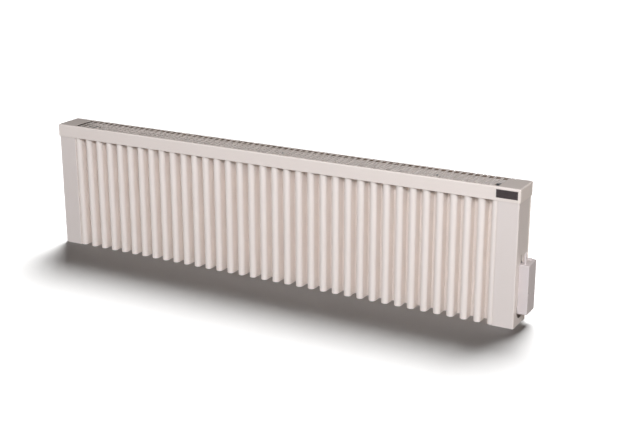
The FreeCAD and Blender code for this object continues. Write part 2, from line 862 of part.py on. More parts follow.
def make_wiring_devices():
    """The overheat limiter on the core, and the terminal block and earth stud on the right end."""
    can = cylinder("can", s.limiter_radius, s.limiter_length, plate_outer, core_middle, limiter_height, "x")
    tabs = [box("tab", s.tab_length, s.tab_wall, s.tab_width, tab_start, y - s.tab_wall / 2,
                limiter_height - s.tab_width / 2) for y in tab_places]
    limiter = fuse("overheat_limiter", [can] + tabs)
    block = box("terminal_blank", s.terminal_width, s.terminal_depth, s.terminal_height,
                terminal_x, terminal_rear - s.terminal_depth, s.terminal_low)
    clamps = [cylinder("clamp", s.clamp_radius, s.clamp_depth, terminal_x, terminal_y, z, "x")
              for z in pole_heights]
    stud = cylinder("earth_stud", s.pin_radius, s.earth_length, earth_tip, earth_y, s.earth_height, "x")
    return [limiter, cut("terminal_block", block, clamps), stud]


def make_leads():
    """The insulated leads between the terminal block, the limiter, the element and the receiver."""
    seat = terminal_x + s.clamp_depth - s.fit_gap
    low, middle, high = pole_heights
    tab_tip = tab_start + s.tab_length + s.fit_gap
    pin_tip = pin_end + s.fit_gap
    turn = pin_tip + s.lead_reach
    earth_turn = earth_tip - s.earth_reach
    runs = {
        "live_lead": [(seat, terminal_y, high), (turn, terminal_y, high),
                      (turn, tab_places[1], limiter_height), (tab_tip, tab_places[1], limiter_height)],
        "limiter_lead": [(tab_tip, tab_places[0], limiter_height), (turn, tab_places[0], limiter_height),
                         (turn, core_middle, element_high), (pin_tip, core_middle, element_high)],
        "neutral_lead": [(seat, terminal_y, low), (turn, terminal_y, low),
                         (turn, core_middle, s.element_low), (pin_tip, core_middle, s.element_low)],
        "earth_lead": [(seat, terminal_y, middle), (earth_turn, terminal_y, middle),
                       (earth_turn, earth_y, s.earth_height),
                       (earth_tip - s.fit_gap, earth_y, s.earth_height)],
    }
    leads = []
    for label, spots in runs.items():
        path = rounded_path([point(*spot) for spot in spots], s.lead_bend)
        leads.append(pipe(label, path, s.lead_radius))
    start_x = half_body + s.receiver_wall + s.strip_width / 2
    rise_x = panel_inner - s.terminal_width / 2
    spots = [(start_x, cable_y, strip_low - s.fit_gap), (start_x, cable_y, cable_low),
             (rise_x - s.cable_bend, cable_y, cable_low), (rise_x, terminal_y, s.cable_rise),
             (rise_x, terminal_y, s.terminal_low - s.fit_gap)]
    path = rounded_path([point(*spot) for spot in spots], s.cable_bend)
    leads.append(pipe("receiver_cable", path, s.cable_radius))
    return leads


# Places inside the receiver
wall_in = s.receiver_wall + s.fit_gap
base_face = half_body + s.receiver_wall
board_x = base_face + s.post_height
board_face = board_x + s.board_wall
board_front = box_front + s.receiver_wall + s.board_margin
board_rear = box_rear - s.receiver_wall - s.board_margin
board_low = seam + wall_in + s.board_margin
board_top = box_top - s.receiver_wall - s.button_headroom
strip_low = seam - s.strip_drop - s.strip_height
strip_length = s.strip_pitch * s.strip_poles + s.strip_margin
strip_front = box_front + (s.receiver_depth - strip_length) / 2
strip_places = [strip_front + s.strip_margin / 2 + s.strip_pitch * (k + 0.5)
                for k in range(int(s.strip_poles.value))]
cable_y = strip_places[1]
cable_low = strip_low - s.cable_drop
fixing_y = box_front + s.receiver_depth / 2
receiver_fixings = [(fixing_y, seam - s.fixing_drop), (fixing_y, box_top - s.fixing_top_drop)]
button_x = half_body + s.button_out
button_y = box_rear - s.button_rear
antenna_x = half_body + s.antenna_out
antenna_y = box_front + s.antenna_front
grommet_x = half_body + s.grommet_out
grommet_y = box_rear - s.grommet_rear


def receiver_block(label, low, height, seam_on_top):
    """A block with the receiver's outline: eased at its seam, and round elsewhere, more so at the rear."""
    width = s.receiver_width - s.fit_gap
    depth = s.receiver_depth
    edge = s.receiver_edge
    round_rear = s.receiver_rear_edge
    outline = Outline(0, 0).line(width - edge, 0).arc(width, edge, width - edge, edge)
    outline.line(width, depth - round_rear)
    outline.arc(width - round_rear, depth, width - round_rear, depth - round_rear).line(0, depth)
    body = new_body(label, outline, "XY_Plane", height)
    near = s.fit_gap.value
    ends = {
        True: lambda edge: edge.BoundBox.ZMin > height.value - near and edge.BoundBox.XMax > near,
        False: lambda edge: edge.BoundBox.ZMax < near and edge.BoundBox.XMax > near,
    }
    ease_edges(body, "Chamfer", s.seam_chamfer, ends[seam_on_top])
    ease_edges(body, "Fillet", s.receiver_rim, ends[not seam_on_top])
    return place(body, half_body + s.fit_gap, box_front, low)


def make_receiver_shells():
    """The upper cover with its floor, and the lid over the terminals, which pulls straight off."""
    inside = s.receiver_depth - s.receiver_wall * 2
    inner_y = box_front + s.receiver_wall
    reach = box_outer - s.receiver_wall - half_body
    cover_low = seam + s.fit_gap
    floor_top = cover_low + s.receiver_wall
    roof = box_top - s.receiver_wall
    room = box("cover_room", reach, inside, roof - floor_top, half_body, inner_y, floor_top)
    plate_room = box("plate_room", wall_in, inside, roof - cover_low, half_body, inner_y, cover_low)
    length = s.button_length + s.fit_gap * 2
    width = s.button_width + s.fit_gap * 2
    window = box("button_window", length, width, s.receiver_wall,
                 button_x - length / 2, button_y - width / 2, roof)
    antenna_hole = cylinder("antenna_hole", s.antenna_spigot + s.thread_clearance, s.receiver_wall,
                            antenna_x, antenna_y, roof)
    cover = cut("receiver_cover", receiver_block("cover_block", cover_low, box_top - cover_low, False),
                [fuse("cover_hollow", [room, plate_room]), window, antenna_hole])
    lid_room = box("lid_room", reach, inside, s.lid_height, half_body, inner_y, s.receiver_low)
    lid = cut("terminal_lid", receiver_block("lid_block", s.receiver_low, s.lid_height, True), [lid_room])
    return [cover, lid]


def make_receiver_base():
    """The back plate with its bottom wall, board posts, screw holes and cable holes."""
    inner_y = box_front + wall_in
    inside = s.receiver_depth - wall_in * 2
    top = box_top - wall_in
    plate = box("plate", s.receiver_wall, inside, top - s.receiver_low, half_body, inner_y, s.receiver_low)
    bottom = box("bottom", s.receiver_width - wall_in, inside, s.receiver_wall,
                 half_body, inner_y, s.receiver_low)
    posts = [cylinder("post", s.post_radius, s.post_height, base_face, y, z, "x")
             for y in (board_front + s.post_inset, board_rear - s.post_inset)
             for z in (board_low + s.post_inset, board_top - s.post_inset)]
    holes = [screw_hole(half_body, y, z, "x", s.receiver_wall) for y, z in receiver_fixings]
    holes.append(cylinder("grommet_hole", s.grommet_radius + s.thread_clearance, s.receiver_wall,
                          grommet_x, grommet_y, s.receiver_low))
    holes.append(cylinder("cable_hole", s.cable_radius + s.cable_hole_clearance, s.receiver_wall,
                          half_body, cable_y, cable_low, "x"))
    return cut("receiver_base", fuse("base_blank", [plate, bottom] + posts), holes)


def make_grommet():
    """A rubber grommet in the bottom of the receiver, where the supply cable enters."""
    low = s.receiver_low - s.grommet_lip
    top = s.receiver_low + s.receiver_wall
    total = s.receiver_wall + s.grommet_lip * 2
    rings = [cylinder("lip", s.grommet_flange, s.grommet_lip, grommet_x, grommet_y, z) for z in (low, top)]
    neck = cylinder("neck", s.grommet_radius, total, grommet_x, grommet_y, low)
    bore = cylinder("cable_bore", s.grommet_bore, total, grommet_x, grommet_y, low)
    return cut("supply_grommet", fuse("grommet_blank", rings + [neck]), [bore])


def make_antenna():
    """A turned stub with a collar, a spigot through the cover and a round tip."""
    radius = s.antenna_radius
    collar = s.antenna_collar
    spigot = s.antenna_spigot
    step = s.antenna_step
    foot = -s.receiver_wall
    outline = Outline(0, foot).line(spigot, foot).line(spigot, 0).line(collar, 0).line(collar, step)
    outline.line(radius, step).line(radius, s.antenna_height - radius)
    outline.arc(0, s.antenna_height, 0, s.antenna_height - radius)
    body = doc.addObject("PartDesign::Body", "receiver_antenna")
    turned = body.newObject("PartDesign::Revolution", "antenna_turned")
    sketch = outline.draw(body, "XZ_Plane")
    turned.Profile = sketch
    turned.ReferenceAxis = (sketch, ["V_Axis"])
    turned.Angle = 360
    doc.recompute()
    return place(body, antenna_x, antenna_y, box_top)


def make_button():
    """The push-button on top: a rounded key with two lugs under the cover and a stem."""
    lug_top = box_top - wall_in
    length = s.button_length
    width = s.button_width
    key = new_body("button_key", rectangle(0, 0, length, width), "XY_Plane", wall_in + s.button_rise)
    ease_edges(key, "Fillet", s.receiver_edge, lambda edge: edge.BoundBox.ZMax > s.receiver_edge.value)
    place(key, button_x - length / 2, button_y - width / 2, lug_top)
    rim = s.button_lug
    lugs = box("button_lugs", length + rim * 2, width, rim,
               button_x - length / 2 - rim, button_y - width / 2, lug_top - rim)
    stem_low = board_top + s.button_travel + s.fit_gap
    stem = cylinder("button_stem", s.button_stem, lug_top - rim - stem_low, button_x, button_y, stem_low)
    return fuse("pairing_button", [key, lugs, stem])


def make_receiver_parts():
    """The board with its relay, capacitor and switch, the terminal strip and the screws."""
    board = box("receiver_board", s.board_wall, board_rear - board_front, board_top - board_low,
                board_x, board_front, board_low)
    room = box_outer - s.receiver_wall - board_face
    relay_low = board_low + s.post_inset
    relay = box("relay", room - s.relay_gap, s.relay_length, s.relay_height,
                board_face, board_front + s.post_inset, relay_low)
    capacitor = cylinder("capacitor", s.capacitor_radius, room - s.capacitor_gap, board_face,
                         board_rear - s.capacitor_inset, relay_low + s.relay_height + s.capacitor_lift, "x")
    switch = box("button_switch", s.switch_height, s.switch_length, s.switch_height,
                 board_face, button_y - s.switch_length / 2, board_top - s.switch_height)
    blank = box("strip_blank", s.strip_width, strip_length, s.strip_height,
                base_face, strip_front, strip_low)
    face = base_face + s.strip_width
    middle = strip_low + s.strip_screw_rise
    depth = s.strip_width / 2
    ways = [cylinder("screw_way", s.clamp_radius, depth, face - depth, y, middle, "x") for y in strip_places]
    strip = cut("receiver_terminals", blank, ways)
    head = s.clamp_radius - s.thread_clearance
    heads = [cylinder("clamp_screw", head, depth / 2, face - depth, y, middle, "x") for y in strip_places]
    fixings = [screw(base_face, y, z, "x", s.screw_length) for y, z in receiver_fixings]
    return [board, relay, capacitor, switch, strip, group("terminal_screws", heads),
            group("receiver_screws", fixings)]


def check(nodes):
    """Stop if anything failed to build."""
    doc.recompute()
    for item in doc.Objects:
        if "Invalid" in item.State or "Error" in item.State:
            raise RuntimeError(f"{item.Label} failed: {item.State}")
    for item in nodes:
        shape = item.Shape
        if shape.isNull() or not shape.isValid() or not shape.Solids:
            raise RuntimeError(f"{item.Label} has no sound shape")


def main():
    """Build every piece, check it and write its file."""
    casing = [make_front_panel(), *make_end_panels(), make_back_panel(), make_top_cover(),
              make_badge_plate(), make_base_plate(), *make_casing_screws()]
    core = [*make_core(), make_tray_supports(), *make_end_plates(), *make_tie_rods(), *make_element()]
    wiring = [*make_wiring_devices(), *make_leads()]
    receiver = [*make_receiver_shells(), make_receiver_base(), make_grommet(), make_antenna(),
                make_button(), *make_receiver_parts()]
    nodes = casing + core + wiring + receiver
    check(nodes)
    os.makedirs("parts", exist_ok=True)
    for item in nodes:
        item.Shape.exportStep(f"parts/{item.Label}.step")
    print(len(nodes), "pieces written")


main()
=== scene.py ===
"""Looks of a low electric radiator: powder-coated flutes, slotted cap, clay core and radio receiver.

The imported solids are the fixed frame. This script gives every piece its finish, adds the fine pieces
that the solids leave out, and sets a pale floor, soft studio light and the camera.
"""
import logging
import math
from dataclasses import asdict, dataclass, replace
from enum import Enum
from typing import Any, ClassVar

import bmesh
import bpy
from mathutils import Euler, Matrix, Vector


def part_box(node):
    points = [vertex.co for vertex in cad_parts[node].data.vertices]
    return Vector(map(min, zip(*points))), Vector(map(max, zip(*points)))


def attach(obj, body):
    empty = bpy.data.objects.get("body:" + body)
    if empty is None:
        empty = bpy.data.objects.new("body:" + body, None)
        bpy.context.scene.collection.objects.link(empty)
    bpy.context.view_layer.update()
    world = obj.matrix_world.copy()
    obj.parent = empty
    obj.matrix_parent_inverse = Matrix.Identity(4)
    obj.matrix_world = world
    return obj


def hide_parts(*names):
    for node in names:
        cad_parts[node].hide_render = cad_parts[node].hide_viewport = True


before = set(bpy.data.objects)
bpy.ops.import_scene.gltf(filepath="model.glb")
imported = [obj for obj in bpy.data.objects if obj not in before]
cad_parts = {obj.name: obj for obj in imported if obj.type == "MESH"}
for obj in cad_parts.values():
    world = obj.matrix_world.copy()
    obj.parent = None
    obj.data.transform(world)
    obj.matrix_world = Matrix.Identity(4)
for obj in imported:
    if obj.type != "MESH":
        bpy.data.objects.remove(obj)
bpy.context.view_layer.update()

LOG = logging.getLogger("radiator")
MM = 0.001
IMAGE_WIDTH = 633
# Points nearer than this, in millimetres, are one point
MERGE = 0.005
# Edges sharper than this, in degrees, stay sharp
SHARP_ANGLE = 32.0
# The material slot of the plated steel in the record
ZINC_SLOT = "zinc_steel"
# Sockets of a colour mix, by number, because their names repeat: share, both colours and the result
MIX_SHARE, MIX_FIRST, MIX_SECOND, MIX_RESULT = 0, 6, 7, 2


class Body(Enum):
    """The rigid bodies that pieces ride on."""

    CASING = "casing"
    LID = "terminal_lid"
    BUTTON = "pairing_button"


class Recess(Enum):
    """What drives a screw."""

    CROSS = "cross"
    SLOT = "slot"


class Way(Enum):
    """Where a screw's head points: the number of the axis."""

    RIGHT = 0
    REAR = 1

    def turn(self) -> Matrix:
        """Give the turn that lays an upright screw this way."""
        if self is Way.RIGHT:
            return Matrix.Rotation(math.radians(90.0), 4, "Y")
        return Matrix.Rotation(math.radians(-90.0), 4, "X")


def linear(colour: str) -> tuple[float, float, float, float]:
    """Turn an sRGB hex colour into linear light.

    Args:
        colour: six hex digits, red first.

    Returns:
        Red, green, blue and a full alpha.
    """
    parts = [int(colour[k:k + 2], 16) / 255 for k in (0, 2, 4)]
    red, green, blue = (c / 12.92 if c <= 0.04045 else ((c + 0.055) / 1.055) ** 2.4 for c in parts)
    return red, green, blue, 1.0


def per_mm(size: float) -> float:
    """Give the scale of a pattern whose cells are this many millimetres wide."""
    return 1.0 / (size * MM)


def add_node(tree: bpy.types.NodeTree, kind: str, settings: dict[str, Any] | None = None,
             inputs: dict[str | int, Any] | None = None) -> bpy.types.Node:
    """Add a node with its settings, values and links.

    Args:
        tree: the node tree of a material or a world.
        kind: the node's type name.
        settings: properties of the node.
        inputs: a value, or another node's output, for each input by name or number.

    Returns:
        The new node.
    """
    node = tree.nodes.new(kind)
    for name, value in (settings or {}).items():
        setattr(node, name, value)
    for key, value in (inputs or {}).items():
        if isinstance(value, bpy.types.NodeSocket):
            tree.links.new(value, node.inputs[key])
        else:
            node.inputs[key].default_value = value
    return node


@dataclass(frozen=True)
class Finish:
    """A surface finish: mottled colour, mottled gloss and a fine relief, all from Object coordinates.

    Light and dark are the colours of the mottle, whose patches are mottle wide. Roughness is the two ends
    of the gloss, grain and relief are the width and depth of the fine relief, and stretch lengthens the
    pattern along each axis. Sizes are in millimetres.
    """

    name: str
    light: str
    dark: str
    mottle: float
    roughness: tuple[float, float]
    grain: float
    relief: float
    metallic: float = 0.0
    ior: float = 1.5
    stretch: tuple[float, float, float] = (1.0, 1.0, 1.0)

    # How ragged the two noises are, and the values between which most of a noise lies
    MOTTLE_NOISE: ClassVar[dict[str, float]] = {"Detail": 4.0, "Roughness": 0.55}
    GRAIN_NOISE: ClassVar[dict[str, float]] = {"Detail": 2.0, "Roughness": 0.5}
    NOISE_SPAN: ClassVar[dict[str, float]] = {"From Min": 0.3, "From Max": 0.7}
    RELIEF_STRENGTH: ClassVar[float] = 0.35

    def build(self) -> bpy.types.Material:
        """Make the material.

        Returns:
            The material, ready to be assigned.
        """
        material = bpy.data.materials.new(self.name)
        material.use_nodes = True
        tree = material.node_tree
        tree.nodes.clear()
        place = add_node(tree, "ShaderNodeTexCoord").outputs["Object"]
        scale = tuple(1.0 / s for s in self.stretch)
        spot = add_node(tree, "ShaderNodeMapping", inputs={"Vector": place, "Scale": scale}).outputs["Vector"]
        mottle = add_node(tree, "ShaderNodeTexNoise", inputs={
            "Vector": spot, "Scale": per_mm(self.mottle), **self.MOTTLE_NOISE})
        grain = add_node(tree, "ShaderNodeTexNoise", inputs={
            "Vector": spot, "Scale": per_mm(self.grain), **self.GRAIN_NOISE})
        colour = add_node(tree, "ShaderNodeMix", {"data_type": "RGBA"}, {
            MIX_SHARE: mottle.outputs["Fac"], MIX_FIRST: linear(self.dark), MIX_SECOND: linear(self.light)})
        smooth, rough = self.roughness
        gloss = add_node(tree, "ShaderNodeMapRange", inputs={
            "Value": grain.outputs["Fac"], "To Min": smooth, "To Max": rough, **self.NOISE_SPAN})
        bump = add_node(tree, "ShaderNodeBump", inputs={
            "Height": grain.outputs["Fac"], "Strength": self.RELIEF_STRENGTH, "Distance": self.relief * MM})
        shader = add_node(tree, "ShaderNodeBsdfPrincipled", inputs={
            "Base Color": self.tint(tree, spot, colour.outputs[MIX_RESULT]),
            "Roughness": gloss.outputs["Result"],
            "Metallic": self.metallic, "IOR": self.ior, "Normal": bump.outputs["Normal"]})
        add_node(tree, "ShaderNodeOutputMaterial", inputs={"Surface": shader.outputs["BSDF"]})
        return material

    def tint(self, tree: bpy.types.NodeTree, spot: bpy.types.NodeSocket,
             colour: bpy.types.NodeSocket) -> bpy.types.NodeSocket:
        """Add what this finish has besides its mottle: a plain finish has nothing.

        Args:
            tree: the material's nodes.
            spot: the place on the surface.
            colour: the mottled colour.

        Returns:
            The colour to use.
        """
        return colour


@dataclass(frozen=True)
class StripedSleeve(Finish):
    """Wire insulation with a second colour in bands across its run, one to each pitch."""

    stripe: str = "F2D53C"
    pitch: float = 22.62

    # A diagonal wave turns by this many radians in each unit, and its colours meet half-way up
    WAVE_TURN: ClassVar[float] = 10.0
    STRIPE_EDGE: ClassVar[dict[str, float]] = {"From Min": 0.45, "From Max": 0.55}

    def tint(self, tree: bpy.types.NodeTree, spot: bpy.types.NodeSocket,
             colour: bpy.types.NodeSocket) -> bpy.types.NodeSocket:
        """Lay the stripe over the mottled colour.

        Args:
            tree: the material's nodes.
            spot: the place on the surface.
            colour: the mottled colour.

        Returns:
            The striped colour.
        """
        wave = add_node(tree, "ShaderNodeTexWave", {"bands_direction": "DIAGONAL"}, {
            "Vector": spot, "Scale": per_mm(self.pitch) * math.tau / self.WAVE_TURN})
        edge = add_node(tree, "ShaderNodeMapRange", inputs={"Value": wave.outputs["Fac"], **self.STRIPE_EDGE})
        both = add_node(tree, "ShaderNodeMix", {"data_type": "RGBA"}, {
            MIX_SHARE: edge.outputs["Result"], MIX_FIRST: colour, MIX_SECOND: linear(self.stripe)})
        return both.outputs[MIX_RESULT]


@dataclass(frozen=True)
class PaintedTopShadeCoat(Finish):
    """A coat with brown shade painted towards its top edge, standing in for the shadow under the cap's rear
    edge.

    The band is the heights, in millimetres, between which the painted shade grows.
    """

    # The colour of the painted shade
    brown: str = "7A6452"
    band: tuple[float, float] = (325.5, 328.5)

    def tint(self, tree: bpy.types.NodeTree, spot: bpy.types.NodeSocket,
             colour: bpy.types.NodeSocket) -> bpy.types.NodeSocket:
        """Brown the top of the mottled colour.

        Args:
            tree: the material's nodes.
            spot: the place on the surface.
            colour: the mottled colour.

        Returns:
            The colour with its painted shade.
        """
        height = add_node(tree, "ShaderNodeSeparateXYZ", inputs={"Vector": spot}).outputs["Z"]
        low, high = self.band
        # Painted shade: brown blended in by height towards the top edge
        painted_shade = add_node(tree, "ShaderNodeMapRange", inputs={
            "Value": height, "From Min": low * MM, "From Max": high * MM})
        both = add_node(tree, "ShaderNodeMix", {"data_type": "RGBA"}, {
            MIX_SHARE: painted_shade.outputs["Result"], MIX_FIRST: colour, MIX_SECOND: linear(self.brown)})
        return both.outputs[MIX_RESULT]


# Polyester powder coat baked on steel: a warm satin white with a soft orange peel. The real peel is
# about 1 mm wide, and is drawn wider so that it shows.
POWDER_COAT = Finish("powder_coated_steel", "F8EEE6", "F5EAE1", 90.0, (0.28, 0.36), 2.4, 0.05)
# The same coat on the cap, painted a touch darker and warmer as shade on its top
SHADED_CAP_COAT = replace(POWDER_COAT, name="powder_coated_cap", light="F4E9E0", dark="F1E5DB")
# The same coat on the back panel, with brown shade painted along its top edge for the shadow under the cap
BACK_COAT_WITH_PAINTED_SHADE = PaintedTopShadeCoat(**(asdict(POWDER_COAT) | {"name": "back_panel_coat_painted_shade"}))
# The same coat on the end panels, painted a shade darker: painted shade that stands in for the light their
# flat faces miss
SHADED_END_COAT = replace(POWDER_COAT, name="powder_coated_end_panel", light="EAE0D9", dark="E7DCD4",
                   roughness=(0.34, 0.42))
# Bright zinc plate on steel: cold grey, with a faint spangle
ZINC = Finish("zinc_plated_steel", "C3C6C8", "9EA2A6", 4.0, (0.24, 0.42), 1.2, 0.04, metallic=1.0)
# Fired clay: dry and matt, with darker grog grains
FIRECLAY = Finish("fireclay", "A88368", "7F5F49", 3.0, (0.82, 0.95), 1.0, 0.30, ior=1.55)
# Stainless sheath after heating: straw-brown oxide bands over dull steel
SHEATH = Finish("heat_toned_stainless", "8A8078", "5A5048", 14.0, (0.30, 0.48), 0.8, 0.03, metallic=1.0)
# Unglazed steatite: chalky white
STEATITE = Finish("steatite", "EDE8DE", "DDD5C8", 3.0, (0.62, 0.78), 0.6, 0.06, ior=1.60)
# Moulded phenolic: nearly black and half glossy
PHENOLIC = Finish("phenolic", "26221F", "181513", 2.0, (0.28, 0.40), 0.7, 0.03, ior=1.63)
# Varnished glass-silk sleeves on the heat-proof leads: half matt, with a fine weave
BROWN_SLEEVE = Finish("brown_sleeve", "6E4026", "54301C", 1.2, (0.55, 0.70), 0.5, 0.08, ior=1.45)
BLUE_SLEEVE = Finish("blue_sleeve", "2F5DA8", "244A8C", 1.2, (0.55, 0.70), 0.5, 0.08, ior=1.45)
EARTH_SLEEVE = StripedSleeve("earth_sleeve", "4F9A3A", "3F8230", 1.2, (0.50, 0.66), 0.5, 0.06, ior=1.45)
# Extruded PVC sheath of a round flex: smooth white, with a soft shine
WHITE_SHEATH = Finish("white_sheath", "E6E2DC", "DAD5CE", 6.0, (0.42, 0.54), 0.8, 0.04, ior=1.53)
# Moulded ABS with a fine spark-eroded texture, a little cooler than the coat beside it
ABS = Finish("moulded_abs", "E1D7D4", "DBD1CE", 30.0, (0.44, 0.56), 1.1, 0.04, ior=1.53)
# Black rubber: matt, with a dusty bloom
RUBBER = Finish("black_rubber", "2A2928", "1B1A1A", 3.0, (0.70, 0.85), 0.8, 0.08, ior=1.52)
# Lacquered laminate of a circuit board: deep green and fairly glossy
LAMINATE = Finish("circuit_laminate", "2E6B45", "215236", 1.6, (0.30, 0.42), 0.6, 0.04, ior=1.55)
# Moulded cases of the electronics: nearly black and half matt
CASE = Finish("dark_case", "2C2C30", "1F1F22", 2.0, (0.42, 0.55), 0.7, 0.04, ior=1.55)
# Dark anodised aluminium, brushed along its length
BADGE = Finish("brushed_dark_aluminium", "827878", "665D5E", 1.0, (0.42, 0.54), 0.5, 0.03, metallic=1.0,
               stretch=(14.0, 1.0, 1.0))
# The same metal, cut bright along the bevel
BRIGHT_EDGE = Finish("bright_cut_aluminium", "A6A2A2", "8E8A8B", 2.0, (0.30, 0.40), 0.6, 0.01, metallic=1.0)
# Plain studio floor: a light grey that its own light makes white, so that the shadow on it is deep
FLOOR = Finish("studio_floor", "C2C2C2", "BEBEBE", 400.0, (0.75, 0.85), 20.0, 0.02)


def material_of(finish: Finish) -> bpy.types.Material:
    """Give a finish's material, made once."""
    return bpy.data.materials.get(finish.name) or finish.build()


def dress(finish: Finish, *names: str) -> None:
    """Give CAD nodes one finish.

    Args:
        finish: the finish to assign.
        names: the nodes.
    """
    for name in names:
        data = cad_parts[name].data
        data.materials.clear()
        data.materials.append(material_of(finish))
        LOG.info("%s wears %s", name, finish.name)


def solids_of(name: str) -> list[tuple[Vector, Vector]]:
    """Find the separate solids of a CAD node, such as the screws of a row.

    Args:
        name: the node.

    Returns:
        The lowest and the highest corner of each solid, in metres.
    """
    mesh = bmesh.new()
    mesh.from_mesh(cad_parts[name].data)
    bmesh.ops.remove_doubles(mesh, verts=mesh.verts, dist=MERGE * MM)
    left = set(mesh.verts)
    boxes = []
    while left:
        found = [left.pop()]
        for vert in found:
            near = {edge.other_vert(vert) for edge in vert.link_edges} & left
            left -= near
            found.extend(near)
        spots = [vert.co for vert in found]
        low = Vector([min(spot[axis] for spot in spots) for axis in range(3)])
        high = Vector([max(spot[axis] for spot in spots) for axis in range(3)])
        boxes.append((low, high))
    mesh.free()
    # In order of place, to the millimetre, so that each run numbers them alike
    return sorted(boxes, key=lambda box: [round(value / MM) for value in box[0]])


def add_piece(name: str, mesh: bmesh.types.BMesh, finishes: tuple[Finish, ...], body: Body, slot: str,
              *nodes: str) -> bpy.types.Object:
    """Turn a finished mesh into a piece that rides on a body and stands for CAD nodes.

    Args:
        name: the piece's name.
        mesh: the shape, in the CAD frame, which is used up.
        finishes: a finish for each material number of the mesh.
        body: the body that carries the piece.
        slot: the record's material slot; not used.
        nodes: the CAD nodes that the piece replaces.

    Returns:
        The new piece.
    """
    bmesh.ops.recalc_face_normals(mesh, faces=mesh.faces)
    data = bpy.data.meshes.new(name)
    mesh.to_mesh(data)
    mesh.free()
    data.shade_smooth()
    data.set_sharp_from_angle(angle=math.radians(SHARP_ANGLE))
    for finish in finishes:
        data.materials.append(material_of(finish))
    piece = bpy.data.objects.new(name, data)
    bpy.context.scene.collection.objects.link(piece)
    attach(piece, body.value)
    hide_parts(*nodes)
    LOG.info("%s stands for %s", name, ", ".join(nodes))
    return piece


def repeat(mesh: bmesh.types.BMesh, places: list[Matrix]) -> None:
    """Copy the whole of a mesh to each place, and drop the original.

    Args:
        mesh: the mesh to repeat.
        places: where the copies go.
    """
    first = mesh.verts[:] + mesh.edges[:] + mesh.faces[:]
    original = mesh.verts[:]
    for place in places:
        copy = bmesh.ops.duplicate(mesh, geom=first)["geom"]
        verts = [item for item in copy if isinstance(item, bmesh.types.BMVert)]
        bmesh.ops.transform(mesh, matrix=place, verts=verts)
    bmesh.ops.delete(mesh, geom=original, context="VERTS")


def turned(profile: list[tuple[float, float]], steps: int) -> bmesh.types.BMesh:
    """Turn a profile about Z.

    Args:
        profile: radius and height of each point, in millimetres.
        steps: the number of faces round the axis.

    Returns:
        The turned mesh.
    """
    mesh = bmesh.new()
    verts = [mesh.verts.new((radius * MM, 0.0, height * MM)) for radius, height in profile]
    edges = [mesh.edges.new(pair) for pair in zip(verts, verts[1:])]
    bmesh.ops.spin(mesh, geom=verts + edges, cent=(0.0, 0.0, 0.0), axis=(0.0, 0.0, 1.0),
                   angle=math.tau, steps=steps, use_merge=True)
    bmesh.ops.remove_doubles(mesh, verts=mesh.verts, dist=MERGE * MM)
    return mesh


